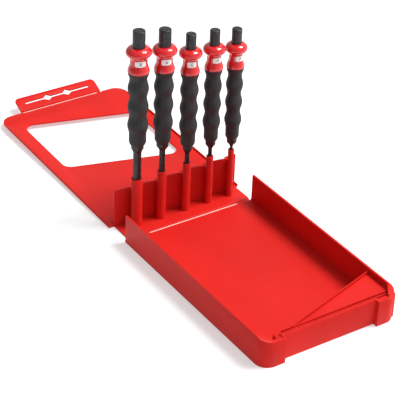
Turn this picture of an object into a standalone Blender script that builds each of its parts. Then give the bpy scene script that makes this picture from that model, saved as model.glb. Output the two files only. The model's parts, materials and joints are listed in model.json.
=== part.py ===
"""Folding case with five sheathed drift punches standing in its rack.

The case is four moulded panels in a row, joined by film hinges along X: the
tray, the rack that holds the punches, the lid and the hang tab. It is modelled
open, with the punches upright in their sockets.

Frame: +X runs along the rack, +Y from the tray towards the lid, +Z up. The
origin is the middle of the tray's underside. Sizes below are in millimetres.
"""

import math

import bmesh
import bpy
from mathutils import Matrix, Vector

MM = 0.001

# Fits
GAP = 0.3               # between neighbouring solids that nearly touch
FIT = 0.15              # radial gap between a punch and what is pressed on it

# Tray
TRAY_WIDTH = 150.0      # over the side walls
TRAY_LENGTH = 233.0     # from the hinge line to the front feet
TRAY_HEIGHT = 30.5      # side walls
WALL = 2.0
FLOOR = 2.0
CORNER_RADIUS = 13.0    # front corners
FRONT_DROP = 3.4        # front rim below the side walls
RECESS_DEPTH = 5.0      # bay in the front wall that takes the hang tab
LIP_PROUD = 0.6         # how far the front lip stands past the bay's wall
CAP_WIDTH = 10.0        # solid top of a front corner, from the tray's side
CAP_SINK = 0.8          # solid top of a foot below the front rim
DECK_LEFT = 18.0        # from the tray's left side to the deck's left end
DECK_KNEE = 19.5        # from there to the start of the deck's slant
DECK_DROP = 2.6         # deck surface below the lowered front rim
DECK_NEAR = 12.5        # deck depth at its left end, from the front feet
DECK_RIGHT_DEPTH = 45.0  # deck depth at the right wall, from the front feet
RIB = 1.2               # width of the ribs and of the deck's skirt
RIB_STEPS = (5.4, 8.6, 12.0)  # rib centres, from the front feet
RIB_SLANT = 1.3         # shift of the ribs' left ends for each mm of step
RIB_SINK = 0.6          # rib tops below the front rim

# Film hinges
FILM = 0.4              # thickness of the film
FILM_WIDTH = 1.2
HINGE_HEIGHT = 0.4      # axis above the underside

# Rack
BASE_LEFT_MARGIN = 4.6  # base plate inset from the tray's left side
BASE_RIGHT_MARGIN = 2.6
BASE = 2.0
SOCKET_Y = 16.6         # socket line behind the first hinge
SOCKET_TOP = 55.9
SOCKET_FLOOR = 3.5
SOCKET_WALL = 1.3
SOCKET_X = (-51.7, -23.4, 5.6, 32.6, 58.1)
SOCKET_PLAY = 0.3       # radial play round a tip
BACK_WALL = 1.6
BACK_HEIGHT = 41.4
BACK_LEFT_MARGIN = 3.4  # back wall inset from the tray's sides
BACK_RIGHT_MARGIN = 4.6
SCALLOP = 3.0           # how far each bay of the back wall curls forward

# Lid and tab
LID = 1.6
LID_LIFT = 0.1          # lid underside above the tray's underside at the hinge
RIM = 1.0
RIM_HEIGHT = 3.2        # from the lid's underside
RIM_RUNOUT = 12.0       # length over which a rim sinks to the lid's far corner
EAR = 4.2               # reach of the lid's ears past its hinge
LID_REST = 1.3          # degrees above flat
WINDOW_HALF = 60.5
WINDOW_NEAR = 94.0      # near edge on the centre line, from the hinge
WINDOW_FAR = 189.5
WINDOW_SLANT = 0.27
WINDOW_RADIUS = 10.0
TAB_WIDTH = 99.0
TAB_OFFSET = 1.1        # tab's middle to the right of the lid's
TAB_PLAY = 0.4          # beside the tab in its bay
TAB_LENGTH = 19.6
TAB_RADIUS = 5.0
TAB_REST = 22.0         # degrees above the lid
SLOT_HALF = 39.5
SLOT_WIDTH = 2.2
SLOT_REACH = 11.0       # slot centre from the tab's hinge
DIAMOND_SPACING = 24.0
DIAMOND_HALF = (6.4, 4.2)

# Punches: tip diameter, stock diameter, length
PUNCHES = (
    (8.0, 12.0, 210.9),
    (6.0, 12.0, 205.5),
    (5.0, 10.0, 193.5),
    (4.0, 10.0, 190.8),
    (3.0, 10.0, 186.0),
)
HEAD_BASE = 7.2         # bare head = base + share of the stock diameter
HEAD_PER_STOCK = 0.8
HEAD_EASE = 0.5         # chamfer of the struck face
GUARD = 25.5            # guard length below the bare head
BALL_DROP = 5.6         # widest ring of the ball, below the guard's top
NECK_START = 12.2       # neck, below the guard's top
NECK_END = 16.0
SKIRT_LIP = 0.9         # widest ring of the skirt, above the guard's end
FIRST_TROUGH = 50.0     # grip's first trough, below the head's face
GRIP_END = 120.5        # grip's lower end, below the head's face
BARE = 4.5              # bare stock below the grip
STOCK_EASE = 0.8        # chamfer where the stock ends
TAPER = 4.5             # cone from the stock to the tip
NECK_BASE = 4.4         # neck radius = base + shares of the two diameters
NECK_PER_STOCK = 0.17
NECK_PER_TIP = 0.24
BALL_OVER_NECK = 4.1
SKIRT_OVER_NECK = 2.1
CUFF_UNDER_SKIRT = 0.3  # grip's top below the skirt's radius
WAVE_OVER_NECK = 0.8    # mean of the grip's waves over the neck
WAVE = 0.85             # half the height of a wave
WAVE_PITCH = 19.6
WAVES = 3
BADGE = 0.5
BADGE_HEIGHT = 5.8
BADGE_ANGLE = 68.0
BADGE_TURN = (20.0, 18.0, 22.0, 8.0, 4.0)  # degrees from straight ahead

TURNED_STEPS = 20
SOCKET_STEPS = 24
ARC_STEPS = 10
EASE_STEPS = 5
SCALLOP_STEPS = 8
SCALLOP_CURL = 2.5  # exponent of the curve each bay of the back wall follows
SCALLOP_FOOT = 1.0  # height where the back wall starts, inside the base plate
PAST = 5.0  # how far a cutter runs past the surface it cuts

# Worked out from the sizes above
HALF = TRAY_WIDTH / 2
INNER_HALF = HALF - WALL
HALF_GAP = FILM_WIDTH / 2 + GAP
LID_HALF = HALF + GAP + RIM
LID_UNDER = LID_LIFT - HINGE_HEIGHT
LID_BEND = CORNER_RADIUS + GAP + RIM
LID_HINGE = TRAY_HEIGHT + GAP + LID + LID_LIFT - 2 * HINGE_HEIGHT
SIDE_END = LID_UNDER + LID + GAP
FRONT_HEIGHT = TRAY_HEIGHT - FRONT_DROP
DECK_TOP = FRONT_HEIGHT - DECK_DROP
BAY_Y = TRAY_LENGTH - RECESS_DEPTH
FOOT_HALF = TAB_WIDTH / 2 + TAB_OFFSET + TAB_PLAY
TAB_HINGE = BAY_Y + LIP_PROUD + GAP + LID + LID_LIFT - HINGE_HEIGHT
LID_END = TAB_HINGE - HALF_GAP
BASE_LEFT = -HALF + BASE_LEFT_MARGIN
BASE_RIGHT = HALF - BASE_RIGHT_MARGIN
BACK_Y = LID_HINGE - EAR - GAP - BACK_WALL / 2
ORIGIN_Y = TRAY_LENGTH / 2

RED = (0.72, 0.022, 0.018, 1.0)
DEEP_RED = (0.58, 0.008, 0.012, 1.0)
BLACK_RUBBER = (0.012, 0.012, 0.013, 1.0)
BLACK_STEEL = (0.03, 0.03, 0.033, 1.0)
WHITE = (0.85, 0.85, 0.85, 1.0)


def clear_scene():
    """Remove every object of the open scene."""
    for obj in list(bpy.data.objects):
        bpy.data.objects.remove(obj, do_unlink=True)


def collection(name):
    """A new collection linked to the scene."""
    made = bpy.data.collections.new(name)
    bpy.context.scene.collection.children.link(made)
    return made


def material(name, colour, roughness, metallic=0.0):
    """A Principled material."""
    made = bpy.data.materials.new(name)
    made.use_nodes = True
    shader = made.node_tree.nodes["Principled BSDF"]
    shader.inputs["Base Color"].default_value = colour
    shader.inputs["Roughness"].default_value = roughness
    shader.inputs["Metallic"].default_value = metallic
    return made


def empty(name, place, parent=None, tilt=0.0):
    """An empty at a place in its parent, turned about X."""
    made = bpy.data.objects.new(name, None)
    MODEL.objects.link(made)
    made.parent = parent
    made.location = Vector(place) * MM
    made.rotation_euler.x = math.radians(tilt)
    return made


def link(obj, parent, look=None):
    """Put a piece, or a cutter when it has no look, in its collection."""
    (MODEL if look else CUTTERS).objects.link(obj)
    obj.parent = parent
    if look:
        obj.data.materials.append(look)
    else:
        obj.hide_render = True
        obj.display_type = "WIRE"
    return obj


def arc(centre, radius, start, end, steps=ARC_STEPS):
    """Points on an arc, angles in degrees."""
    points = []
    for step in range(steps + 1):
        angle = math.radians(start + (end - start) * step / steps)
        offset = Vector((math.cos(angle), math.sin(angle))) * radius
        points.append(tuple(Vector(centre) + offset))
    return points


def rounded(corners, radius):
    """A polygon with every corner rounded to a radius."""
    points = []
    for index, corner in enumerate(corners):
        here = Vector(corner)
        back = (Vector(corners[index - 1]) - here).normalized()
        ahead = (Vector(corners[(index + 1) % len(corners)]) - here).normalized()
        half = back.angle(ahead) / 2
        start = here + back * radius / math.tan(half)
        end = here + ahead * radius / math.tan(half)
        centre = here + (back + ahead).normalized() * radius / math.sin(half)
        first = start - centre
        turn = first.angle_signed(end - centre)
        for step in range(ARC_STEPS + 1):
            spin = Matrix.Rotation(-turn * step / ARC_STEPS, 2)
            points.append(tuple(centre + spin @ first))
    return points


def plate(name, outline, low, high, parent, look=None):
    """A flat plate: a filled 2D curve extruded from low to high, as a mesh."""
    curve = bpy.data.curves.new(name, "CURVE")
    curve.dimensions = "2D"
    curve.fill_mode = "BOTH"
    curve.extrude = (high - low) / 2 * MM
    spline = curve.splines.new("POLY")
    spline.points.add(len(outline) - 1)
    for point, (x, y) in zip(spline.points, outline):
        point.co = (x * MM, y * MM, 0.0, 1.0)
    spline.use_cyclic_u = True
    holder = bpy.data.objects.new(name + "_curve", curve)
    bpy.context.scene.collection.objects.link(holder)
    seen = holder.evaluated_get(bpy.context.evaluated_depsgraph_get())
    mesh = bpy.data.meshes.new_from_object(seen)
    bpy.data.objects.remove(holder, do_unlink=True)
    bpy.data.curves.remove(curve)
    mesh.name = name
    solid = bmesh.new()
    solid.from_mesh(mesh)
    bmesh.ops.remove_doubles(solid, verts=solid.verts, dist=1e-6)
    bmesh.ops.translate(solid, vec=(0.0, 0.0, (low + high) / 2 * MM), verts=solid.verts)
    solid.to_mesh(mesh)
    solid.free()
    return link(bpy.data.objects.new(name, mesh), parent, look)


def box(name, low, high, parent, look=None, turn=0.0):
    """A box between two corners, turned about X round its own centre."""
    size = Vector(high) - Vector(low)
    middle = (Vector(high) + Vector(low)) / 2
    solid = bmesh.new()
    bmesh.ops.create_cube(solid, size=1.0)
    bmesh.ops.scale(solid, vec=size * MM, verts=solid.verts)
    mesh = bpy.data.meshes.new(name)
    solid.to_mesh(mesh)
    solid.free()
    made = link(bpy.data.objects.new(name, mesh), parent, look)
    made.location = middle * MM
    made.rotation_euler.x = math.radians(turn)
    return made


def post(name, radius, low, high, place, parent, look=None):
    """A round post standing at a place."""
    solid = bmesh.new()
    bmesh.ops.create_cone(
        solid, cap_ends=True, segments=SOCKET_STEPS,
        radius1=radius * MM, radius2=radius * MM, depth=(high - low) * MM,
    )
    mesh = bpy.data.meshes.new(name)
    solid.to_mesh(mesh)
    solid.free()
    made = link(bpy.data.objects.new(name, mesh), parent, look)
    made.location = (place[0] * MM, place[1] * MM, (low + high) / 2 * MM)
    return made


def boolean(target, cutter, operation):
    """A Boolean modifier with the EXACT solver."""
    modifier = target.modifiers.new(cutter.name, "BOOLEAN")
    modifier.operation = operation
    modifier.object = cutter
    modifier.solver = "EXACT"


def groove(name, half_width, parent, place=(0.0, 0.0), middle=0.0):
    """A V-shaped cutter that mitres the panel edges beside a film hinge."""
    side = 20.0
    rise = math.sqrt(2) * side / 2
    root = place[1] + FILM / 2 - HALF_GAP
    centre = Vector((middle, place[0], root + rise))
    corner = Vector((half_width, side / 2, side / 2))
    return box(name, centre - corner, centre + corner, parent, turn=45.0)


def slope(name, first, second, half_width, parent):
    """A cutter whose flat underside runs through two (y, z) points."""
    start, end = Vector(first), Vector(second)
    run = end - start
    normal = Vector((-run.y, run.x)).normalized()
    depth = 10.0
    middle = (start + end) / 2 + normal * depth / 2
    centre = Vector((0.0, middle.x, middle.y))
    corner = Vector((half_width, run.length / 2 + GAP, depth / 2))
    turn = math.degrees(math.atan2(run.y, run.x))
    return box(name, centre - corner, centre + corner, parent, turn=turn)


def ease(start, end, share):
    """A value that leaves start and reaches end smoothly, like a cosine."""
    return start + (end - start) * (1 - math.cos(math.pi * share)) / 2


def turned(name, profile, parent, look, closed=False):
    """A turned piece: a profile of (radius, height) run round Z."""
    mesh = bpy.data.meshes.new(name)
    points = [(radius * MM, 0.0, height * MM) for radius, height in profile]
    edges = [(index, index + 1) for index in range(len(points) - 1)]
    if closed:
        edges.append((len(points) - 1, 0))
    mesh.from_pydata(points, edges, [])
    made = link(bpy.data.objects.new(name, mesh), parent, look)
    screw = made.modifiers.new("turn", "SCREW")
    screw.steps = TURNED_STEPS
    screw.render_steps = TURNED_STEPS
    screw.use_merge_vertices = True
    screw.merge_threshold = 0.00001
    screw.use_smooth_shade = True
    return made


def deck_corner(x):
    """Place along Y of the deck's slanted back edge at x."""
    knee = -HALF + DECK_LEFT + DECK_KNEE
    share = max(0.0, (x - knee) / (INNER_HALF - knee))
    near = TRAY_LENGTH - DECK_NEAR
    far = TRAY_LENGTH - DECK_RIGHT_DEPTH
    return -(near + (far - near) * share)


def deck_outline(inset=0.0):
    """The deck's plan: shallow at the left, deep at the right wall."""
    left = -HALF + DECK_LEFT + inset
    knee = -HALF + DECK_LEFT + DECK_KNEE
    right = INNER_HALF - inset if inset else INNER_HALF + WALL / 4
    front = -BAY_Y + inset if inset else -BAY_Y - LIP_PROUD
    return [
        (left, front),
        (right, front),
        (right, deck_corner(right) - inset),
        (knee, deck_corner(knee) - inset),
        (left, deck_corner(left) - inset),
    ]


def corner_cap(side):
    """Plan of the solid top inside a front corner; side is -1 or 1."""
    far = -TRAY_LENGTH
    inside = HALF - CAP_WIDTH
    centre = (HALF - CORNER_RADIUS, far + CORNER_RADIUS)
    points = [(inside, -BAY_Y), (inside, far + WALL / 2)]
    points += [p for p in arc(centre, CORNER_RADIUS - WALL / 2, 270, 360) if p[0] > inside]
    points.append((INNER_HALF - WALL / 2, far + CORNER_RADIUS + WALL))
    ring = [(side * x, y) for x, y in points]
    return ring if side > 0 else ring[::-1]


def add_deck(tray, parent):
    """Deck with its slanted crest, the ribs along the front and a pocket below."""
    boolean(tray, plate("tray_deck", deck_outline(), WALL / 4, DECK_TOP, parent), "UNION")
    left = -HALF + DECK_LEFT
    knee = Vector((left + DECK_KNEE, deck_corner(left)))
    right = INNER_HALF + WALL / 4
    corner = Vector((right, deck_corner(right)))
    run = (corner - knee).normalized()
    side = Vector((run.y, -run.x)) * RIB
    crest = [tuple(knee), tuple(corner), tuple(corner + side), tuple(knee + side)]
    boolean(tray, plate("tray_crest", crest, WALL / 2, FRONT_HEIGHT, parent), "UNION")
    for number, step in enumerate(RIB_STEPS):
        front = max(step - TRAY_LENGTH - RIB / 2, -BAY_Y - LIP_PROUD)
        end = left + GAP + RIB_SLANT * (step - RIB_STEPS[0])
        low = (end, front, DECK_TOP - WALL / 2)
        high = (right, front + RIB, FRONT_HEIGHT - RIB_SINK)
        boolean(tray, box("tray_rib_%d" % (number + 1), low, high, parent), "UNION")
    pocket = plate("tray_pocket", deck_outline(WALL), -PAST, DECK_TOP - WALL, parent)
    boolean(tray, pocket, "DIFFERENCE")


def build_tray(parent):
    """Open tray: floor, side walls, front feet and the bay between them."""
    far = -TRAY_LENGTH
    over = TRAY_HEIGHT + PAST
    left = (-HALF + CORNER_RADIUS, far + CORNER_RADIUS)
    right = (HALF - CORNER_RADIUS, far + CORNER_RADIUS)
    outline = [(-HALF, -HALF_GAP)] + arc(left, CORNER_RADIUS, 180, 270)
    outline += arc(right, CORNER_RADIUS, 270, 360) + [(HALF, -HALF_GAP)]
    tray = plate("tray", outline, 0.0, TRAY_HEIGHT, parent, PLASTIC)

    bend = CORNER_RADIUS - WALL
    cavity = [(-INNER_HALF, PAST)] + arc(left, bend, 180, 270)
    cavity += [(-FOOT_HALF - WALL, far + WALL), (-FOOT_HALF - WALL, -BAY_Y + WALL)]
    cavity += [(FOOT_HALF + WALL, -BAY_Y + WALL), (FOOT_HALF + WALL, far + WALL)]
    cavity += arc(right, bend, 270, 360) + [(INNER_HALF, PAST)]
    boolean(tray, plate("tray_cavity", cavity, FLOOR, over, parent), "DIFFERENCE")
    for name, side in (("left", -1), ("right", 1)):
        corner = plate("tray_cap_" + name, corner_cap(side), WALL / 2, TRAY_HEIGHT, parent)
        boolean(tray, corner, "UNION")
        inner, outer = side * (FOOT_HALF + WALL / 2), side * (HALF - CAP_WIDTH + WALL / 2)
        low = (min(inner, outer), far + WALL / 2, WALL / 2)
        high = (max(inner, outer), -BAY_Y, FRONT_HEIGHT - CAP_SINK)
        boolean(tray, box("tray_foot_" + name, low, high, parent), "UNION")

    bay_low = (-FOOT_HALF, far - PAST, -PAST)
    bay_high = (FOOT_HALF, -BAY_Y, over)
    boolean(tray, box("tray_bay", bay_low, bay_high, parent), "DIFFERENCE")
    front_low = (-HALF + CORNER_RADIUS, far - PAST, FRONT_HEIGHT)
    front_high = (HALF - CORNER_RADIUS, -BAY_Y + WALL + GAP, over)
    boolean(tray, box("tray_front_step", front_low, front_high, parent), "DIFFERENCE")
    fall = slope("tray_front_fall", (far, FRONT_HEIGHT), (left[1], TRAY_HEIGHT), HALF + PAST, parent)
    boolean(tray, fall, "DIFFERENCE")
    side_low = (-HALF - PAST, -SIDE_END, FLOOR + GAP)
    side_high = (HALF + PAST, PAST, over)
    boolean(tray, box("tray_side_end", side_low, side_high, parent), "DIFFERENCE")
    mitre = groove("tray_mitre", INNER_HALF - GAP, parent, (0.0, HINGE_HEIGHT))
    boolean(tray, mitre, "DIFFERENCE")
    add_deck(tray, parent)
    return tray


def scallop(name, start, end, parent):
    """One bay of the back wall: it leaves the wall line and curls forward."""
    points = []
    for step in range(SCALLOP_STEPS + 1):
        share = step / SCALLOP_STEPS
        x = start[0] + (end[0] - start[0]) * share
        y = start[1] + (end[1] - start[1]) * share ** SCALLOP_CURL
        points.append((x * MM, y * MM))
    solid = bmesh.new()
    edges = []
    verts = [solid.verts.new((x, y, SCALLOP_FOOT * MM)) for x, y in points]
    for first, second in zip(verts, verts[1:]):
        edges.append(solid.edges.new((first, second)))
    raised = bmesh.ops.extrude_edge_only(solid, edges=edges)
    top = [item for item in raised["geom"] if isinstance(item, bmesh.types.BMVert)]
    bmesh.ops.translate(solid, vec=(0, 0, (BACK_HEIGHT - SCALLOP_FOOT) * MM), verts=top)
    mesh = bpy.data.meshes.new(name)
    solid.to_mesh(mesh)
    solid.free()
    made = link(bpy.data.objects.new(name, mesh), parent)
    wall = made.modifiers.new("wall", "SOLIDIFY")
    wall.thickness = BACK_WALL * MM
    wall.offset = 0.0
    return made


def socket_radius(tip):
    """Outer radius of the socket that takes a tip."""
    return tip / 2 + SOCKET_PLAY + SOCKET_WALL


def build_rack(parent):
    """Base plate, five sockets and the scalloped wall behind them."""
    base_low = (BASE_LEFT, HALF_GAP, 0.0)
    base_high = (BASE_RIGHT, LID_HINGE - HALF_GAP, BASE)
    rack = box("rack", base_low, base_high, parent, PLASTIC)
    for name, y in (("rack_near_mitre", 0.0), ("rack_far_mitre", LID_HINGE)):
        boolean(rack, groove(name, HALF + 5, parent, (y, HINGE_HEIGHT)), "DIFFERENCE")
    starts = [-HALF + BACK_LEFT_MARGIN] + [x - GAP for x in SOCKET_X]
    ends = [x + GAP for x in SOCKET_X] + [HALF - BACK_RIGHT_MARGIN]
    for number, (start, end) in enumerate(zip(starts, ends)):
        outer = number in (0, len(SOCKET_X))
        curl = 0.0 if outer else SCALLOP
        bay = scallop("rack_wall_%d" % number, (start, BACK_Y), (end, BACK_Y - curl), parent)
        boolean(rack, bay, "UNION")
    for number, (x, punch) in enumerate(zip(SOCKET_X, PUNCHES), 1):
        radius = socket_radius(punch[0])
        tube = post("rack_socket_%d" % number, radius, BASE / 2, SOCKET_TOP, (x, SOCKET_Y), parent)
        boolean(rack, tube, "UNION")
        web_low = (x - BACK_WALL / 2, SOCKET_Y + radius - SOCKET_WALL / 2, BASE / 2)
        web_high = (x + BACK_WALL / 2, BACK_Y + BACK_WALL / 4, BACK_HEIGHT - GAP)
        boolean(rack, box("rack_web_%d" % number, web_low, web_high, parent), "UNION")
    for number, (x, punch) in enumerate(zip(SOCKET_X, PUNCHES), 1):
        bore = punch[0] / 2 + SOCKET_PLAY
        hole = post("rack_bore_%d" % number, bore, SOCKET_FLOOR, SOCKET_TOP + 5,
                    (x, SOCKET_Y), parent)
        boolean(rack, hole, "DIFFERENCE")
    return rack


def build_lid(parent):
    """Lid panel with low side rims, ears at the hinge and a slanted window."""
    low, high = LID_UNDER, LID_UNDER + RIM_HEIGHT
    bend_y = LID_END - LID_BEND
    ear_left, ear_right = BASE_LEFT - GAP, BASE_RIGHT + GAP
    outline = [(ear_left, HALF_GAP), (ear_left, -EAR), (-LID_HALF, -EAR)]
    outline += arc((-LID_HALF + LID_BEND, bend_y), LID_BEND, 180, 90)
    outline += arc((LID_HALF - LID_BEND, bend_y), LID_BEND, 90, 0)
    outline += [(LID_HALF, -EAR), (ear_right, -EAR), (ear_right, HALF_GAP)]
    lid = plate("lid", outline, low, high, parent, PLASTIC)
    inner, outer = LID_HALF - RIM, LID_HALF + 5
    rim_end = bend_y - 1.0
    floor, over = low + LID, high + 5
    hollow = box("lid_hollow", (-inner, -EAR - 5, floor), (inner, rim_end + 1, over), parent)
    boolean(lid, hollow, "DIFFERENCE")
    plain_end = box("lid_plain_end", (-outer, rim_end, floor), (outer, LID_END + 5, over), parent)
    boolean(lid, plain_end, "DIFFERENCE")
    runout = slope("lid_rim_runout", (rim_end - RIM_RUNOUT, high), (rim_end, floor + GAP),
                   outer, parent)
    boolean(lid, runout, "DIFFERENCE")
    half = (ear_right - ear_left - GAP) / 2
    near_mitre = groove("lid_mitre", half, parent, middle=(ear_left + ear_right) / 2)
    boolean(lid, near_mitre, "DIFFERENCE")
    far_mitre = groove("lid_far_mitre", TAB_WIDTH / 2 + 1, parent, (TAB_HINGE, 0.0), TAB_OFFSET)
    boolean(lid, far_mitre, "DIFFERENCE")
    slant = WINDOW_SLANT * WINDOW_HALF
    window = [
        (-WINDOW_HALF, WINDOW_NEAR + slant),
        (WINDOW_HALF, WINDOW_NEAR - slant),
        (WINDOW_HALF, WINDOW_FAR - slant),
        (-WINDOW_HALF, WINDOW_FAR + slant),
    ]
    cut = plate("lid_window", rounded(window, WINDOW_RADIUS), low - 5, high + 5, parent)
    boolean(lid, cut, "DIFFERENCE")
    return lid


def build_tab(parent):
    """Hang tab with a long slot that widens into two diamonds."""
    low, high = LID_UNDER, LID_UNDER + LID
    half = TAB_WIDTH / 2
    outline = [(-half, HALF_GAP), (half, HALF_GAP)]
    outline += arc((half - TAB_RADIUS, TAB_LENGTH - TAB_RADIUS), TAB_RADIUS, 0, 90)
    outline += arc((-half + TAB_RADIUS, TAB_LENGTH - TAB_RADIUS), TAB_RADIUS, 90, 180)
    tab = plate("hang_tab", outline, low, high, parent, PLASTIC)
    boolean(tab, groove("tab_mitre", half + 5, parent), "DIFFERENCE")
    across, along = DIAMOND_HALF
    edge = SLOT_WIDTH / 2
    taper = across * (1 - edge / along)
    upper = []
    for centre in (-DIAMOND_SPACING / 2, DIAMOND_SPACING / 2):
        upper += [(centre - taper, edge), (centre, along), (centre + taper, edge)]
    upper = [(-SLOT_HALF, edge)] + upper + [(SLOT_HALF, edge)]
    ring = upper + [(x, -y) for x, y in reversed(upper)]
    slot = [(x, y + SLOT_REACH) for x, y in ring]
    boolean(tab, plate("tab_slot", slot, low - 5, high + 5, parent), "DIFFERENCE")
    return tab


def build_film(name, left, right, parent):
    """The thin strip of a film hinge along its axis, from left to right."""
    low = (left, -FILM_WIDTH / 2, -FILM / 2)
    high = (right, FILM_WIDTH / 2, FILM / 2)
    return box(name, low, high, parent, PLASTIC)


def neck_radius(tip, stock):
    """Radius of a guard's neck, which the rest of the handle follows."""
    return NECK_BASE + NECK_PER_STOCK * stock + NECK_PER_TIP * tip


def guard_top(stock, length):
    """Height of a guard's top above the punch's tip."""
    return length - HEAD_BASE - HEAD_PER_STOCK * stock


def build_shank(number, parent):
    """One-piece steel punch: head, body, cone and tip, standing on z = 0."""
    tip, stock, length = PUNCHES[number - 1]
    body = stock / 2
    nose = length - GRIP_END - BARE
    profile = [
        (0.0, length),
        (body - HEAD_EASE, length),
        (body, length - HEAD_EASE),
        (body, nose),
        (body - STOCK_EASE, nose - STOCK_EASE),
        (tip / 2, nose - TAPER),
        (tip / 2, GAP),
        (tip / 2 - GAP, 0.0),
        (0.0, 0.0),
    ]
    return turned("punch_%d_shank" % number, profile, parent, STEEL)


def build_guard(number, parent):
    """Hand guard: a rounded flange, a waist and a flared skirt."""
    tip, stock, length = PUNCHES[number - 1]
    top = guard_top(stock, length)
    bore = stock / 2 + FIT
    neck = neck_radius(tip, stock)
    ball, skirt = neck + BALL_OVER_NECK, neck + SKIRT_OVER_NECK
    profile = []
    for step in range(EASE_STEPS):
        turn = math.pi / 2 * step / EASE_STEPS
        fall = BALL_DROP * (1 - math.cos(turn))
        profile.append((bore + (ball - bore) * math.sin(turn), top - fall))
    lip = GUARD - SKIRT_LIP
    for step in range(EASE_STEPS + 1):
        share = step / EASE_STEPS
        drop = BALL_DROP + (NECK_START - BALL_DROP) * share
        profile.append((ease(ball, neck, share), top - drop))
    for step in range(EASE_STEPS + 1):
        share = step / EASE_STEPS
        drop = NECK_END + (lip - NECK_END) * share
        profile.append((ease(neck, skirt, share), top - drop))
    profile += [(skirt - CUFF_UNDER_SKIRT, top - GUARD), (bore, top - GUARD)]
    return turned("punch_%d_guard" % number, profile, parent, GLOSS, closed=True)


def build_grip(number, parent):
    """Rubber sleeve with three soft waves and a plain lower end."""
    tip, stock, length = PUNCHES[number - 1]
    top = guard_top(stock, length) - GUARD - GAP
    first = length - FIRST_TROUGH
    bottom = length - GRIP_END
    bore = stock / 2 + FIT
    neck = neck_radius(tip, stock)
    mean = neck + WAVE_OVER_NECK
    cuff = neck + SKIRT_OVER_NECK - CUFF_UNDER_SKIRT
    low = mean - WAVE
    profile = [(bore, top)]
    for step in range(EASE_STEPS):
        share = step / EASE_STEPS
        profile.append((ease(cuff, low, share), top + (first - top) * share))
    wave_steps = 6
    for step in range(WAVES * wave_steps + 1):
        share = step / wave_steps
        radius = mean - WAVE * math.cos(2 * math.pi * share)
        profile.append((radius, first - WAVE_PITCH * share))
    profile += [(low, bottom + 3.0), (low - 0.9, bottom + 0.6), (low - 1.6, bottom)]
    profile.append((bore, bottom))
    return turned("punch_%d_grip" % number, profile, parent, RUBBER, closed=True)


def build_badge(number, parent):
    """A thin curved label that lies on the guard's neck."""
    tip, stock, length = PUNCHES[number - 1]
    radius = neck_radius(tip, stock) + GAP
    middle = guard_top(stock, length) - (NECK_START + NECK_END) / 2
    name = "punch_%d_badge" % number
    mesh = bpy.data.meshes.new(name)
    ends = [(radius * MM, 0.0, (middle + side * BADGE_HEIGHT / 2) * MM) for side in (1, -1)]
    mesh.from_pydata(ends, [(0, 1)], [])
    badge = link(bpy.data.objects.new(name, mesh), parent, LABEL)
    turn = badge.modifiers.new("bend", "SCREW")
    turn.angle = math.radians(BADGE_ANGLE)
    turn.steps = turn.render_steps = 7
    turn.merge_threshold = 0.00001
    skin = badge.modifiers.new("skin", "SOLIDIFY")
    skin.thickness = BADGE * MM
    skin.offset = 1.0
    badge.rotation_euler.z = math.radians(270 - BADGE_TURN[number - 1] - BADGE_ANGLE / 2)
    return badge


def build_punch(number, rack):
    """One punch, its pieces parented to an empty at its socket's floor."""
    seat = (SOCKET_X[number - 1], SOCKET_Y, SOCKET_FLOOR + GAP - HINGE_HEIGHT)
    axis = empty("punch_%d_axis" % number, seat, rack)
    for build in (build_shank, build_guard, build_grip, build_badge):
        build(number, axis)


clear_scene()
MODEL = collection("folding_punch_set")
CUTTERS = collection("cutters")
PLASTIC = material("red_moulded_plastic", RED, 0.38)
GLOSS = material("red_gloss_plastic", DEEP_RED, 0.15)
RUBBER = material("black_rubber", BLACK_RUBBER, 0.62)
STEEL = material("black_steel", BLACK_STEEL, 0.42, 0.9)
LABEL = material("white_label", WHITE, 0.5)

case = empty("case", (0.0, ORIGIN_Y, 0.0))
tray_frame = empty("tray_frame", (0.0, 0.0, 0.0), case)
rack_axis = empty("rack_hinge_axis", (0.0, 0.0, HINGE_HEIGHT), case)
rack_frame = empty("rack_frame", (0.0, 0.0, -HINGE_HEIGHT), rack_axis)
lid_axis = empty("lid_hinge_axis", (0.0, LID_HINGE, 0.0), rack_axis, LID_REST)
tab_axis = empty("tab_hinge_axis", (TAB_OFFSET, TAB_HINGE, 0.0), lid_axis, TAB_REST)

build_tray(tray_frame)
build_rack(rack_frame)
build_lid(lid_axis)
build_tab(tab_axis)
build_film("rack_film_hinge", BASE_LEFT, BASE_RIGHT, rack_axis)
film_seat = empty("lid_film_seat", (0.0, LID_HINGE, 0.0), rack_axis)
build_film("lid_film_hinge", BASE_LEFT, BASE_RIGHT, film_seat)
tab_seat = empty("tab_film_seat", (TAB_OFFSET, TAB_HINGE, 0.0), lid_axis)
build_film("tab_film_hinge", -TAB_WIDTH / 2, TAB_WIDTH / 2, tab_seat)
for punch_number in range(1, len(PUNCHES) + 1):
    build_punch(punch_number, rack_axis)
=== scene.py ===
"""Looks of a folding moulded case that holds five sheathed drift punches.

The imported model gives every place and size. The case panels are taken from it
with their edges eased; the punches, their labels and the film hinges are
worked out here as surfaces on grids. Lengths are in metres.
"""

import json
import logging
import math
from dataclasses import dataclass, field
from enum import Enum
from typing import Any, Optional, Sequence

import bmesh
import bpy
import numpy as np
from mathutils import Matrix, Vector


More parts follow.
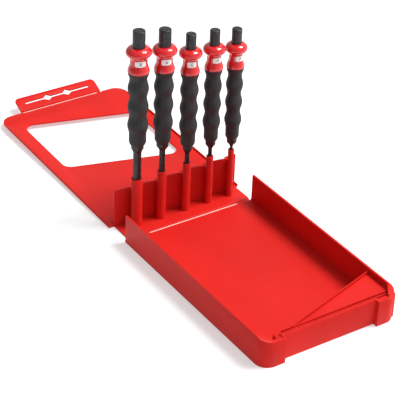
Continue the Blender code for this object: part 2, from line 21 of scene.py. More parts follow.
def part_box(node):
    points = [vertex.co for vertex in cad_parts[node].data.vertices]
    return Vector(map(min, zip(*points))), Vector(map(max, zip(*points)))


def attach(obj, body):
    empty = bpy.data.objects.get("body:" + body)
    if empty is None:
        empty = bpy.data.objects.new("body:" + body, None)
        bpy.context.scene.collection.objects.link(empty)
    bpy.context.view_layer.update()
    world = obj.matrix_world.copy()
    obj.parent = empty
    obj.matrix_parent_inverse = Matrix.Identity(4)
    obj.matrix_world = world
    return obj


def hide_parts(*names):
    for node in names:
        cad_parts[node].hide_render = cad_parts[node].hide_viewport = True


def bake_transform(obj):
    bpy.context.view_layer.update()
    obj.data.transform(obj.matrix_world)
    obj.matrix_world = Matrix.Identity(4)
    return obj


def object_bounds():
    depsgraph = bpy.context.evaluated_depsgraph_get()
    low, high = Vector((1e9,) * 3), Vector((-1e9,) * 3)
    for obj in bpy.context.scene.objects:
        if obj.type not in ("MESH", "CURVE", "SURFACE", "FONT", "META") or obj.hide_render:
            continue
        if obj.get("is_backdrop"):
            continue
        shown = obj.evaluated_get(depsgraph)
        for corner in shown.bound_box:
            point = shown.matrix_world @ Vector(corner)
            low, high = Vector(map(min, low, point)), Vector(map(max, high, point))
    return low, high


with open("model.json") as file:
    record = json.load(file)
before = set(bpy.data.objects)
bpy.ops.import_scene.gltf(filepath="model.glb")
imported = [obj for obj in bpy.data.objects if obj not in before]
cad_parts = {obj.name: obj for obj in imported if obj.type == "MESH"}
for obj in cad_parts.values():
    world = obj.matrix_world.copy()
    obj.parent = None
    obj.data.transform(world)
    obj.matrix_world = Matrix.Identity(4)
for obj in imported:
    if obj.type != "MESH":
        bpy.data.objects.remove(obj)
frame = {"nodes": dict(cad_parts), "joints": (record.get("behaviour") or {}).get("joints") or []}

LOG = logging.getLogger("punch_set")
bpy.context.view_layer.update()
MM = 0.001
BEND_POINTS = 17  # points along an eased stretch of a profile
WAVE_STEPS = 24  # segments along one wave of a grip
Colour = tuple[float, float, float]


class Side(Enum):
    """Which way a profile closes when it is turned."""

    SOLID = "starts and ends on the axis"
    RING = "closes on itself round a bore"


class Value:
    """A number that varies over a surface, written as an expression."""

    def __init__(self, tree: bpy.types.NodeTree, socket: bpy.types.NodeSocket) -> None:
        """Wraps an output socket of a node tree."""
        self.tree = tree
        self.socket = socket

    def _math(self, operation: str, *terms: "Value | float") -> "Value":
        """Adds one Math node.

        Args:
            operation: the Math node's operation.
            terms: the numbers or values that it works on, in order.

        Returns:
            The node's result.
        """
        node = self.tree.nodes.new("ShaderNodeMath")
        node.operation = operation
        for slot, term in zip(node.inputs, terms):
            if isinstance(term, Value):
                self.tree.links.new(term.socket, slot)
            else:
                slot.default_value = float(term)
        return Value(self.tree, node.outputs[0])

    def __add__(self, other: "Value | float") -> "Value":
        """Sum."""
        return self._math("ADD", self, other)

    def __radd__(self, other: float) -> "Value":
        """Sum with a number on the left."""
        return self._math("ADD", other, self)

    def __sub__(self, other: "Value | float") -> "Value":
        """Difference."""
        return self._math("SUBTRACT", self, other)

    def __rsub__(self, other: float) -> "Value":
        """Difference from a number on the left."""
        return self._math("SUBTRACT", other, self)

    def __mul__(self, other: "Value | float") -> "Value":
        """Product."""
        return self._math("MULTIPLY", self, other)

    def __rmul__(self, other: float) -> "Value":
        """Product with a number on the left."""
        return self._math("MULTIPLY", other, self)

    def step(self, low: float, high: float) -> "Value":
        """A soft step from 0 at low to 1 at high, or falling if high is lower.

        Args:
            low: where the step starts.
            high: where the step ends.

        Returns:
            A value between 0 and 1.
        """
        share = (self - low) * (1.0 / (high - low))
        share.socket.node.use_clamp = True
        return share * share * (3.0 - 2.0 * share)


class Finish:
    """A Principled material whose nodes are added by method calls."""

    def __init__(self, name: str, **settings: Any) -> None:
        """Makes the material and sets the constant sockets.

        Args:
            name: the material's name.
            settings: constant values by the shader's socket name, with _ for spaces.
        """
        self.material = bpy.data.materials.new(name)
        self.material.use_nodes = True
        self.tree = self.material.node_tree
        self.shader = self.tree.nodes["Principled BSDF"]
        for key, value in settings.items():
            self.shader.inputs[key.replace("_", " ")].default_value = value
        place = self.node("ShaderNodeTexCoord")
        self.place = place.outputs["Object"]
        split = self.node("ShaderNodeSeparateXYZ", inputs={"Vector": self.place})
        self.x = Value(self.tree, split.outputs["X"])

    def node(
        self, kind: str, settings: Optional[dict] = None, inputs: Optional[dict] = None
    ) -> bpy.types.Node:
        """Adds a node.

        Args:
            kind: the node's type.
            settings: properties of the node, set before its sockets.
            inputs: sockets by name or number, each a number, a value or an output.

        Returns:
            The node.
        """
        made = self.tree.nodes.new(kind)
        for key, value in (settings or {}).items():
            setattr(made, key, value)
        for key, value in (inputs or {}).items():
            slot = made.inputs[key]
            if isinstance(value, Value):
                self.tree.links.new(value.socket, slot)
            elif isinstance(value, bpy.types.NodeSocket):
                self.tree.links.new(value, slot)
            else:
                slot.default_value = value
        return made

    def noise(
        self, pitch: float, detail: float = 2.0, stretch: Sequence[float] = (1, 1, 1)
    ) -> Value:
        """Cloudy noise on the object's own coordinates.

        Args:
            pitch: size of one cloud in metres.
            detail: octaves of finer noise.
            stretch: how much longer a cloud is along each axis.

        Returns:
            A value round 0.5.
        """
        scale = tuple(1.0 / (pitch * part) for part in stretch)
        mapping = self.node("ShaderNodeMapping", inputs={"Vector": self.place, "Scale": scale})
        cloud = self.node(
            "ShaderNodeTexNoise",
            inputs={"Vector": mapping.outputs[0], "Scale": 1.0, "Detail": detail},
        )
        return Value(self.tree, cloud.outputs[0])

    def blend(self, share: Value, first: Any, second: Any) -> bpy.types.NodeSocket:
        """Mixes two colours.

        Args:
            share: 0 gives the first colour and 1 the second.
            first: a colour or a colour output.
            second: a colour or a colour output.

        Returns:
            The mixed colour's output.
        """
        mix = self.node("ShaderNodeMix", {"data_type": "RGBA"}, {0: share})
        for slot, colour in ((mix.inputs[6], first), (mix.inputs[7], second)):
            if isinstance(colour, bpy.types.NodeSocket):
                self.tree.links.new(colour, slot)
            else:
                slot.default_value = (*colour, 1.0)
        return mix.outputs[2]

    def feed(self, socket: str, source: Any) -> None:
        """Links a value or an output to one of the shader's sockets."""
        output = source.socket if isinstance(source, Value) else source
        self.tree.links.new(output, self.shader.inputs[socket])

    def relief(self, height: Value, depth: float) -> None:
        """Bumps the surface by a height between 0 and 1, depth metres deep."""
        bump = self.node("ShaderNodeBump", inputs={"Height": height, "Distance": depth})
        self.feed("Normal", bump.outputs[0])


def shade(colour: Colour, amount: float) -> Colour:
    """The colour made lighter or darker by a factor."""
    return tuple(min(1.0, part * amount) for part in colour)


@dataclass(frozen=True)
class MouldedPlastic:
    """Dyed plastic from a spark-eroded mould: fine grain, flow marks, rubs."""

    name: str = "red_moulded_plastic"
    colour: Colour = (0.62, 0.017, 0.013)
    roughness: float = 0.40
    grain: float = 0.45 * MM

    def make(self) -> Finish:
        """Builds the finish."""
        finish = Finish(self.name, Specular_IOR_Level=0.09)
        flow = finish.noise(46 * MM, 2.0, (1.0, 2.6, 1.0)).step(0.3, 0.7)
        speck = finish.noise(1.6 * MM, 3.0).step(0.35, 0.65)
        rub = finish.noise(9 * MM, 3.0, (0.25, 3.0, 1.0)).step(0.56, 0.74)
        dyed = finish.blend(flow, shade(self.colour, 0.95), shade(self.colour, 1.04))
        finish.feed("Base Color", finish.blend(speck * 0.05, dyed, shade(self.colour, 0.7)))
        finish.feed("Roughness", self.roughness + 0.05 * flow + 0.07 * rub)
        grain = finish.noise(self.grain, 2.0)
        finish.relief(grain * 0.7 + rub * 0.3, 0.02 * MM)
        return finish


@dataclass(frozen=True)
class WhitenedAndHighlitPlastic:
    """The same plastic where it is thin and flexed: it is whitish along the fold, partly from stress
    whitening and partly as a painted highlight.
    """

    name: str
    colour: Colour
    whitening_and_highlight: Colour
    low: float
    high: float

    def make(self) -> Finish:
        """Builds the finish, lighter between the two ends along X: stress whitening plus a painted
        highlight.
        """
        finish = Finish(self.name, Specular_IOR_Level=0.5)
        # Band along X painted lighter: partly stress whitening, partly a painted highlight of the fold
        # line.
        whitened_and_lit = finish.x.step(self.low, self.low + 2 * MM)
        whitened_and_lit = whitened_and_lit * finish.x.step(self.high, self.high - 2 * MM)
        patchy = finish.noise(3 * MM, 2.0).step(0.2, 0.6) * 0.25 + 0.75
        finish.feed("Base Color", finish.blend(whitened_and_lit * patchy, self.colour, self.whitening_and_highlight))
        finish.feed("Roughness", 0.45 - 0.12 * whitened_and_lit)
        finish.relief(finish.noise(0.6 * MM, 2.0), 0.02 * MM)
        return finish


@dataclass(frozen=True)
class GuardPlastic:
    """Polished dyed plastic with a faint orange peel."""

    name: str = "red_polished_plastic"
    colour: Colour = (0.66, 0.010, 0.014)

    def make(self) -> Finish:
        """Builds the finish."""
        finish = Finish(self.name, Specular_IOR_Level=0.5, Coat_Weight=0.5, Coat_Roughness=0.06)
        peel = finish.noise(2.2 * MM, 2.0)
        scuff = finish.noise(4 * MM, 4.0, (1.0, 1.0, 0.3)).step(0.6, 0.72)
        finish.feed("Base Color", finish.blend(peel, shade(self.colour, 0.94), shade(self.colour, 1.06)))
        finish.feed("Roughness", 0.16 + 0.16 * scuff)
        finish.relief(peel, 0.012 * MM)
        return finish


@dataclass(frozen=True)
class GripRubber:
    """Soft black rubber: fine matt skin with a little bloom."""

    name: str = "black_grip_rubber"
    colour: Colour = (0.016, 0.016, 0.017)

    def make(self) -> Finish:
        """Builds the finish."""
        finish = Finish(self.name, Specular_IOR_Level=0.4)
        bloom = finish.noise(11 * MM, 3.0).step(0.35, 0.75)
        skin = finish.noise(0.35 * MM, 2.0)
        finish.feed("Base Color", finish.blend(bloom, self.colour, shade(self.colour, 1.9)))
        finish.feed("Roughness", 0.6 + 0.14 * bloom)
        finish.relief(skin, 0.035 * MM)
        return finish


@dataclass(frozen=True)
class BlackSteel:
    """Turned steel with a black oxide skin: tool rings and mottling."""

    name: str = "black_oxide_steel"
    colour: Colour = (0.035, 0.036, 0.039)

    def make(self) -> Finish:
        """Builds the finish."""
        finish = Finish(self.name, Metallic=0.85, Specular_IOR_Level=0.5)
        mottle = finish.noise(3.5 * MM, 4.0).step(0.35, 0.7)
        rings = finish.noise(0.28 * MM, 1.0, (60.0, 60.0, 1.0))
        finish.feed("Base Color", finish.blend(mottle, self.colour, shade(self.colour, 1.8)))
        finish.feed("Roughness", 0.34 + 0.16 * mottle)
        finish.relief(rings * 0.7 + mottle * 0.3, 0.02 * MM)
        return finish


@dataclass(frozen=True)
class LabelFilm:
    """Printed film: a matt white ground with a trace of ink texture."""

    name: str = "white_label_film"
    colour: Colour = (0.86, 0.86, 0.85)

    def make(self) -> Finish:
        """Builds the finish."""
        finish = Finish(self.name, Specular_IOR_Level=0.45)
        fleck = finish.noise(0.8 * MM, 3.0)
        finish.feed("Base Color", finish.blend(fleck, shade(self.colour, 0.93), self.colour))
        finish.feed("Roughness", 0.34 + 0.1 * fleck)
        return finish


@dataclass(frozen=True)
class PrintInk:
    """Dark printed ink."""

    name: str = "dark_print_ink"
    colour: Colour = (0.03, 0.03, 0.035)

    def make(self) -> Finish:
        """Builds the finish."""
        finish = Finish(self.name, Specular_IOR_Level=0.4)
        fleck = finish.noise(0.5 * MM, 2.0)
        finish.feed("Base Color", finish.blend(fleck, self.colour, shade(self.colour, 2.0)))
        finish.feed("Roughness", 0.4 + 0.1 * fleck)
        return finish


@dataclass(frozen=True)
class StudioSweep:
    """Pale studio table, lit softly from below so that shadows stay light."""

    name: str = "studio_floor"
    colour: Colour = (0.6, 0.6, 0.6)
    light: Colour = (0.978, 0.978, 0.978)
    glow: float = 0.46

    def make(self) -> Finish:
        """Builds the finish."""
        finish = Finish(self.name, Specular_IOR_Level=0.2, Emission_Strength=self.glow)
        cloud = finish.noise(0.4, 2.0)
        finish.feed("Base Color", finish.blend(cloud, shade(self.colour, 0.99), self.colour))
        finish.feed("Roughness", 0.6 + 0.1 * cloud)
        lit = finish.blend(cloud, shade(self.light, 0.98), self.light)
        finish.feed("Emission Color", lit)
        return finish


def show(name: str, mesh: bpy.types.Mesh, finish: Finish) -> bpy.types.Object:
    """Makes an object of a mesh and dresses it.

    Args:
        name: the piece's name.
        mesh: its mesh, already in place.
        finish: its finish.

    Returns:
        The object, at the origin.
    """
    mesh.materials.clear()
    mesh.materials.append(finish.material)
    piece = bpy.data.objects.new(name, mesh)
    bpy.context.scene.collection.objects.link(piece)
    LOG.info("%s: %d faces", name, len(mesh.polygons))
    return piece


def grid_mesh(name: str, points: np.ndarray, wrap_rows: bool, wrap_columns: bool) -> bpy.types.Mesh:
    """Joins a grid of points into quads and closes its seams and poles.

    Each point of row i and column j joins those of i + 1 and j + 1. A row whose
    points coincide is a pole, and its quads end as triangles.

    Args:
        name: the mesh's name.
        points: array of shape (rows, columns, 3).
        wrap_rows: the last row joins the first.
        wrap_columns: the last column joins the first.

    Returns:
        The mesh, shaded smooth.
    """
    rows, columns = points.shape[:2]
    index = np.arange(rows * columns).reshape(rows, columns)
    if wrap_rows:
        index = np.vstack([index, index[:1]])
    if wrap_columns:
        index = np.hstack([index, index[:, :1]])
    corners = [index[:-1, :-1], index[:-1, 1:], index[1:, 1:], index[1:, :-1]]
    quads = np.stack(corners, axis=-1).reshape(-1, 4)
    mesh = bpy.data.meshes.new(name)
    mesh.from_pydata(points.reshape(-1, 3).tolist(), [], quads.tolist())
    solid = bmesh.new()
    solid.from_mesh(mesh)
    bmesh.ops.remove_doubles(solid, verts=solid.verts, dist=0.5e-6)
    bmesh.ops.recalc_face_normals(solid, faces=solid.faces)
    solid.to_mesh(mesh)
    solid.free()
    mesh.shade_smooth()
    return mesh


def rounded(corners: Sequence[tuple[float, float, float]], steps: int = 6) -> np.ndarray:
    """Rounds the inner corners of an open profile.

    A corner of radius q becomes a quarter-like bend: the quadratic curve whose
    ends lie q before and q after the corner, along its two sides.

    Args:
        corners: (radius from the axis, height, rounding) of each corner.
        steps: segments in each bend.

    Returns:
        Array of (radius, height).
    """
    table = np.array(corners, float)
    spots, bends = table[:, :2], table[:, 2]
    pieces = [spots[:1]]
    share = np.linspace(0.0, 1.0, steps + 1)[:, None]
    for before, here, after, bend in zip(spots[:-2], spots[1:-1], spots[2:], bends[1:-1]):
        back, ahead = before - here, after - here
        reach = min(bend, 0.49 * np.hypot(*back), 0.49 * np.hypot(*ahead))
        start = here + back / np.hypot(*back) * reach
        end = here + ahead / np.hypot(*ahead) * reach
        curve = (1 - share) ** 2 * start + 2 * share * (1 - share) * here + share**2 * end
        pieces.append(curve if reach > 0 else here[None])
    pieces.append(spots[-1:])
    return np.vstack(pieces)


def eased(start: float, end: float, share: np.ndarray) -> np.ndarray:
    """A value that leaves start and reaches end smoothly: half a cosine wave.

    Args:
        start: value where share is 0.
        end: value where share is 1.
        share: array from 0 to 1.

    Returns:
        Array start + (end - start)(1 - cos(pi share)) / 2.
    """
    return start + (end - start) * (1 - np.cos(np.pi * share)) / 2


def squared_off(wave: np.ndarray, power: float) -> np.ndarray:
    """Raises a wave between -1 and 1 to a power under 1 and keeps its sign.

    Args:
        wave: array of sines or cosines.
        power: 1 leaves a circle as it is, and a lower power squares it.

    Returns:
        Array of the same shape.
    """
    return np.sign(wave) * np.abs(wave) ** power


def turned(name: str, profile: np.ndarray, axis: Vector, side: Side, steps: int = 72) -> bpy.types.Mesh:
    """Turns a profile round an upright axis.

    The point (r, z) of the profile at angle a goes to (r cos a, r sin a, z).

    Args:
        name: the mesh's name.
        profile: array of (radius, height).
        axis: a point of the axis; its height is added.
        side: how the profile closes.
        steps: columns round the axis.

    Returns:
        The mesh.
    """
    angle = np.linspace(0.0, 2 * np.pi, steps, endpoint=False)
    radius, height = profile[:, :1], profile[:, 1:]
    points = np.stack(
        [
            axis.x + radius * np.cos(angle),
            axis.y + radius * np.sin(angle),
            axis.z + height + 0.0 * angle,
        ],
        axis=-1,
    )
    return grid_mesh(name, points, side is Side.RING, True)


@dataclass
class CasePanel:
    """One moulded panel of the case, taken from the model with eased edges."""

    node: str
    body: str
    ease: float = 0.3 * MM
    crease: float = 34.0

    def build(self, finish: Finish) -> bpy.types.Object:
        """Copies the panel's faces, merges them and rounds their edges.

        Args:
            finish: the moulded finish.

        Returns:
            The piece.
        """
        mesh = frame["nodes"][self.node].data.copy()
        mesh.name = self.node + "_moulding"
        solid = bmesh.new()
        solid.from_mesh(mesh)
        bmesh.ops.remove_doubles(solid, verts=solid.verts, dist=2e-6)
        bmesh.ops.dissolve_limit(
            solid, angle_limit=math.radians(1.0), verts=solid.verts, edges=solid.edges
        )
        solid.to_mesh(mesh)
        solid.free()
        mesh.shade_smooth()
        piece = show(self.node + "_moulding", mesh, finish)
        easing = piece.modifiers.new("eased_edges", "BEVEL")
        easing.width = self.ease
        easing.segments = 2
        easing.limit_method = "ANGLE"
        easing.angle_limit = math.radians(self.crease)
        easing.use_clamp_overlap = True
        easing.harden_normals = True
        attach(piece, self.body)
        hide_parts(self.node)
        return piece


@dataclass
class FilmHinge:
    """The thin web between two panels, built in one fixed pose."""

    node: str
    near: str
    far: str
    reach: float = 1.0 * MM
    film: float = 1.2 * MM
    web: float = 0.4 * MM
    square: float = 0.35
    columns: int = 60
    rows: int = 12

    def build(self, finish: Finish) -> bpy.types.Object:
        """Carries a flat oval section along the hinge and closes both ends.

        The section's point at angle a is (reach cos a, half the web times sin a),
        with the cosine and sine squared off.

        Args:
            finish: the flexed plastic.

        Returns:
            The piece.
        """
        low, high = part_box(self.node)
        middle = (low + high) / 2
        angle = np.linspace(0.0, 2 * np.pi, 2 * self.rows, endpoint=False)
        across = self.reach * squared_off(np.cos(angle), self.square)
        up = self.web / 2 * squared_off(np.sin(angle), self.square)
        along = np.linspace(low.x, high.x, self.columns)[:, None]
        tilt = self.tilt()
        y = middle.y + across * math.cos(tilt) - up * math.sin(tilt) + 0.0 * along
        z = middle.z + across * math.sin(tilt) + up * math.cos(tilt) + 0.0 * along
        points = np.stack([along + 0.0 * across, y, z], axis=-1)
        first = np.full_like(points[:1], middle)
        last = first.copy()
        first[..., 0], last[..., 0] = low.x, high.x
        mesh = grid_mesh(self.node + "_web", np.vstack([first, points, last]), False, True)
        mesh.set_sharp_from_angle(angle=math.radians(50))
        piece = show(self.node + "_web", mesh, finish)
        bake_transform(piece)
        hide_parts(self.node)
        return piece

    def tilt(self) -> float:
        """Angle of the hinge's film above flat, read from its box."""
        low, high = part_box(self.node)
        return math.asin(max(0.0, (high.z - low.z - self.web) / self.film))


@dataclass
class Punch:
    """One sheathed drift punch: steel, hand guard, rubber grip and label."""

    number: int
    tip: float
    badge_turn: float
    badge_angle: float = 68.0
    badge_height: float = 5.8 * MM
    badge_square: float = 0.45
    fit: float = 0.15 * MM
    name: str = field(init=False)
    axis: Vector = field(init=False)
    stock: float = field(init=False)
    top: float = field(init=False)

    def __post_init__(self) -> None:
        """Reads the punch's place and sizes from the model."""
        self.name = f"punch_{self.number}"
        low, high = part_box(self.name + "_shank")
        self.axis = Vector(((low.x + high.x) / 2, (low.y + high.y) / 2, 0.0))
        self.stock = high.x - low.x
        self.foot, self.top = low.z, high.z
        low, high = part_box(self.name + "_guard")
        self.guard_low, self.guard_high = low.z, high.z
        self.ball = (high.x - low.x) / 2
        low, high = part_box(self.name + "_grip")
        self.grip_low, self.grip_high = low.z, high.z
        self.swell = (high.x - low.x) / 2
        low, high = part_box(self.name + "_badge")
        self.badge_middle = (low.z + high.z) / 2

    @property
    def neck(self) -> float:
        """Radius of the guard's waist."""
        return self.ball - 4.1 * MM

    @property
    def badge_radius(self) -> float:
        """Radius of the label's back, just clear of the waist."""
        return self.neck + 0.3 * MM

    def finish_piece(self, part: str, mesh: bpy.types.Mesh, finish: Finish) -> bpy.types.Object:
        """Shows a mesh as the piece that stands for one node of the punch."""
        piece = show(f"{self.name}_{part}_surface", mesh, finish)
        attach(piece, self.name)
        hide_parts(f"{self.name}_{part}")
        return piece

    def shank(self, finish: Finish) -> bpy.types.Object:
        """Turns the one-piece steel punch: head, stock, cone and tip."""
        body, tip = self.stock / 2, self.tip / 2
        nose = self.grip_low - 4.5 * MM
        corners = [
            (0.0, self.top, 0.0),
            (body - 0.5 * MM, self.top, 0.35 * MM),
            (body, self.top - 0.5 * MM, 0.35 * MM),
            (body, nose, 0.7 * MM),
            (body - 0.8 * MM, nose - 0.8 * MM, 0.4 * MM),
            (tip, nose - 4.5 * MM, 0.8 * MM),
            (tip, self.foot + 0.3 * MM, 0.15 * MM),
            (tip - 0.3 * MM, self.foot, 0.15 * MM),
            (0.0, self.foot, 0.0),
        ]
        mesh = turned(self.name + "_shank", rounded(corners), self.axis, Side.SOLID)
        mesh.set_sharp_from_angle(angle=math.radians(40))
        return self.finish_piece("shank", mesh, finish)

    def guard(self, finish: Finish) -> bpy.types.Object:
        """Turns the guard: a rounded flange, a waist and a flared skirt.

        The flange's top is a quarter ellipse from the bore to the ball. From
        the ball to the waist, and from the waist to the skirt, the radius eases
        like half a cosine wave.
        """
        bore, top, base = self.stock / 2 + self.fit, self.guard_high, self.guard_low
        neck, ball = self.neck, self.ball
        skirt = neck + 2.1 * MM
        drop, start, end, lip = (v * MM for v in (5.6, 12.2, 16.0, 0.9))
        share = np.linspace(0.0, 1.0, BEND_POINTS)
        turn = share * np.pi / 2
        shoulder = np.stack(
            [bore + (ball - bore) * np.sin(turn), top - drop * (1 - np.cos(turn))], axis=-1
        )
        under = np.stack([eased(ball, neck, share), top - drop - (start - drop) * share], axis=-1)
        length = top - base - lip - end
        flare = np.stack([eased(neck, skirt, share), top - end - length * share], axis=-1)
        hem = rounded([tuple(flare[-1]) + (0,), (skirt, base, 0.5 * MM), (bore, base, 0)])
        profile = np.vstack([shoulder, under[1:], flare, hem[1:]])
        mesh = turned(self.name + "_guard", profile, self.axis, Side.RING)
        mesh.set_sharp_from_angle(angle=math.radians(60))
        return self.finish_piece("guard", mesh, finish)

    def grip(self, finish: Finish) -> bpy.types.Object:
        """Turns the rubber sleeve.

        Under its cuff the radius eases to the first trough. Then it follows
        mean - wave cos(2 pi s) for three waves, and stays at the trough to the
        end.
        """
        bore, top, base = self.stock / 2 + self.fit, self.grip_high, self.grip_low
        wave, pitch, count = 0.85 * MM, 19.6 * MM, 3
        neck = self.neck
        mean = neck + 0.8 * MM
        low, cuff = mean - wave, neck + 1.8 * MM
        first = self.top - 50.0 * MM
        share = np.linspace(0.0, 1.0, BEND_POINTS)
        lead = np.stack([eased(cuff, low, share), top + (first - top) * share], axis=-1)
        share = np.linspace(0.0, count, WAVE_STEPS * count + 1)
        waves = np.stack([mean - wave * np.cos(2 * np.pi * share), first - pitch * share], axis=-1)
        tail = rounded(
            [
                tuple(waves[-1]) + (0,),
                (low, base + 2.6 * MM, 1.6 * MM),
                (low - 1.6 * MM, base, 0.4 * MM),
                (bore, base, 0.0),
            ]
        )
        profile = np.vstack([[(bore, top)], lead[:-1], waves, tail[1:]])
        mesh = turned(self.name + "_grip", profile, self.axis, Side.RING)
        mesh.set_sharp_from_angle(angle=math.radians(60))
        return self.finish_piece("grip", mesh, finish)

    def wrap(self, flat: np.ndarray, radius: float) -> np.ndarray:
        """Bends flat points round the waist.

        The distance along the label divided by the radius is an angle.

        Args:
            flat: array of (along, up, out), in metres.
            radius: of the surface that they lie on.

        Returns:
            The same points in place.
        """
        angle = math.radians(270 - self.badge_turn) + flat[..., 0] / radius
        reach = radius + flat[..., 2]
        return np.stack(
            [
                self.axis.x + reach * np.cos(angle),
                self.axis.y + reach * np.sin(angle),
                self.badge_middle + flat[..., 1],
            ],
            axis=-1,
        )

    def badge(self, finish: Finish) -> bpy.types.Object:
        """Shapes the label: a squared oval, bent round the waist.

        The rim's point at angle a is (half width cos a, half height sin a), with
        both squared off, and rings shrink from it to the middle.
        """
        radius = self.badge_radius
        half = radius * math.radians(self.badge_angle) / 2
        angle = np.linspace(0.0, 2 * np.pi, 64, endpoint=False)
        rings = np.array([0.0, 0.3, 0.6, 0.9, 1.0, 1.0, 0.9, 0.6, 0.3, 0.0])[:, None]
        out = np.array([0.5, 0.5, 0.5, 0.5, 0.42, 0.0, 0.0, 0.0, 0.0, 0.0])[:, None] * MM
        along = rings * half * squared_off(np.cos(angle), self.badge_square)
        up = rings * self.badge_height / 2 * squared_off(np.sin(angle), self.badge_square)
        flat = np.stack([along, up, out + 0.0 * angle], axis=-1)
        mesh = grid_mesh(self.name + "_badge", self.wrap(flat, radius), False, True)
        mesh.set_sharp_from_angle(angle=math.radians(50))
        return self.finish_piece("badge", mesh, finish)

    def size_mark(self, finish: Finish) -> bpy.types.Object:
        """Prints the tip's size on the label."""
        text = bpy.data.curves.new(self.name + "_mark", "FONT")
        text.body = f"{self.tip / MM:.0f}"
        text.size, text.extrude = 4.4 * MM, 0.03 * MM
        text.align_x, text.align_y = "CENTER", "CENTER"
        holder = bpy.data.objects.new(self.name + "_mark_text", text)
        bpy.context.scene.collection.objects.link(holder)
        seen = holder.evaluated_get(bpy.context.evaluated_depsgraph_get())
        mesh = bpy.data.meshes.new_from_object(seen)
        bpy.data.objects.remove(holder)
        flat = np.zeros(len(mesh.vertices) * 3)
        mesh.vertices.foreach_get("co", flat)
        flat = flat.reshape(-1, 3) + (0.0, 0.0, 0.52 * MM)
        placed = self.wrap(flat, self.badge_radius)
        mesh.vertices.foreach_set("co", placed.ravel())
        piece = show(self.name + "_size_mark", mesh, finish)
        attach(piece, self.name)
        return piece


@dataclass(frozen=True)
class Viewpoint:
    """Where the camera stands, round a point on the floor."""

    azimuth: float = 34.42
    elevation: float = 32.59
    roll: float = 2.29
    distance: float = 1.6338
    lens: float = 145.58
    past_hinge: tuple[float, float] = (0.02915, 0.02565)

    def build(self) -> bpy.types.Object:
        """Places the camera at a three-quarter angle above the tray's left corner."""
        hinge = next(j for j in frame["joints"] if j["name"] == "rack_fold")["pos_m"]
        target = Vector((self.past_hinge[0], hinge[1] + self.past_hinge[1], 0.0))
        turn, rise, roll = (math.radians(v) for v in (self.azimuth, self.elevation, self.roll))
        back = Vector((-math.sin(turn) * math.cos(rise), -math.cos(turn) * math.cos(rise), math.sin(rise)))
        right = Vector((0.0, 0.0, 1.0)).cross(back).normalized()
        up = back.cross(right)
        lean = Matrix((right, up, back)).transposed() @ Matrix.Rotation(roll, 3, "Z")
        data = bpy.data.cameras.new("camera")
        data.lens, data.sensor_width, data.clip_end = self.lens, 36.0, 50.0
        camera = bpy.data.objects.new("camera", data)
        bpy.context.scene.collection.objects.link(camera)
        camera.matrix_world = Matrix.Translation(target + back * self.distance) @ lean.to_4x4()
        bpy.context.scene.camera = camera
        return camera


@dataclass(frozen=True)
class Softbox:
    """A square studio light aimed at the case."""

    name: str
    towards: tuple[float, float, float]
    distance: float
    size: float
    power: float

    def build(self, target: Vector) -> bpy.types.Object:
        """Hangs the light and turns its face to the target."""
        data = bpy.data.lights.new(self.name, "AREA")
        data.shape, data.size, data.energy = "SQUARE", self.size, self.power
        lamp = bpy.data.objects.new(self.name, data)
        bpy.context.scene.collection.objects.link(lamp)
        away = Vector(self.towards).normalized()
        lamp.matrix_world = Matrix.Translation(target + away * self.distance) @ away.to_track_quat(
            "Z", "Y"
        ).to_matrix().to_4x4()
        return lamp


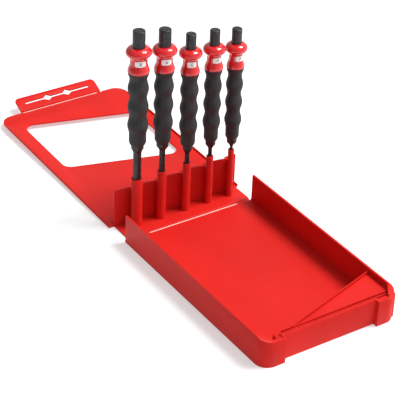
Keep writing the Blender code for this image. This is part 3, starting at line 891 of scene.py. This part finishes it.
class Studio:
    """Pale floor, softboxes and a sky that is dimmer on the left."""

    SKY = 0.76
    DIM_SHARE = 0.36
    HALF_FLOOR = 6.0
    BOXES = (
        Softbox("key_light", (0.46, -0.22, 0.86), 3.2, 1.3, 118.0),
        Softbox("left_light", (-0.75, -0.5, 0.35), 1.8, 0.16, 0.3),
    )

    def build(self, target: Vector) -> None:
        """Builds the floor, lights and sky round the target."""
        side = np.linspace(-self.HALF_FLOOR, self.HALF_FLOOR, 9)
        x, y = np.meshgrid(side, side, indexing="ij")
        points = np.stack([x, y, np.full_like(x, -0.1 * MM)], axis=-1)
        mesh = grid_mesh("studio_floor", points, False, False)
        if mesh.polygons[0].normal.z < 0:
            mesh.flip_normals()
        show("studio_floor", mesh, StudioSweep().make())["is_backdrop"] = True
        for softbox in self.BOXES:
            softbox.build(target)
        self.build_sky()
        bpy.context.scene.view_settings.view_transform = "Standard"

    def build_sky(self) -> None:
        """Lights the sky: full strength to the right, dimmer to the left."""
        world = bpy.data.worlds.new("studio_sky")
        world.use_nodes = True
        nodes, links = world.node_tree.nodes, world.node_tree.links
        place = nodes.new("ShaderNodeTexCoord")
        split = nodes.new("ShaderNodeSeparateXYZ")
        fade = nodes.new("ShaderNodeMapRange")
        fade.interpolation_type = "SMOOTHSTEP"
        for socket, value in zip(fade.inputs[1:5], (-0.7, 0.4, self.SKY * self.DIM_SHARE, self.SKY)):
            socket.default_value = value
        links.new(place.outputs["Generated"], split.inputs[0])
        links.new(split.outputs["X"], fade.inputs[0])
        links.new(fade.outputs[0], nodes["Background"].inputs["Strength"])
        nodes["Background"].inputs["Color"].default_value = (1.0, 1.0, 1.0, 1.0)
        bpy.context.scene.world = world


def build_case() -> None:
    """Builds the four panels and the three film hinges."""
    plastic = MouldedPlastic().make()
    for node in ("tray", "rack", "lid", "hang_tab"):
        CasePanel(node, node).build(plastic)
    colour = MouldedPlastic.colour
    # Lighter hinge colour: partly stress whitening and partly a painted highlight along each fold.
    whitening_and_highlight = (1.0, 0.62, 0.54)
    hinges = (
        ("rack_film_hinge", "tray", "rack", -47 * MM, 58 * MM),
        ("lid_film_hinge", "rack", "lid", -60 * MM, 60 * MM),
        ("tab_film_hinge", "lid", "hang_tab", -47 * MM, 47 * MM),
    )
    for node, near, far, low, high in hinges:
        finish = WhitenedAndHighlitPlastic(node + "_plastic", colour, whitening_and_highlight, low, high).make()
        FilmHinge(node, near, far).build(finish)


def build_punches() -> None:
    """Builds the five punches."""
    steel, gloss, rubber = BlackSteel().make(), GuardPlastic().make(), GripRubber().make()
    film, ink = LabelFilm().make(), PrintInk().make()
    sizes = ((8.0, 20.0), (6.0, 18.0), (5.0, 22.0), (4.0, 8.0), (3.0, 4.0))
    for number, (tip, turn) in enumerate(sizes, 1):
        punch = Punch(number, tip * MM, turn)
        punch.shank(steel)
        punch.guard(gloss)
        punch.grip(rubber)
        punch.badge(film)
        punch.size_mark(ink)


def main() -> None:
    """Builds the looks, the studio and the camera."""
    logging.basicConfig(level=logging.INFO, format="%(message)s")
    camera = Viewpoint().build()
    LOG.info("camera at %s", tuple(round(v, 3) for v in camera.location))
    build_case()
    build_punches()
    low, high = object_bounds()
    Studio().build((Vector(low) + Vector(high)) / 2)


if __name__ == "__main__":
    main()
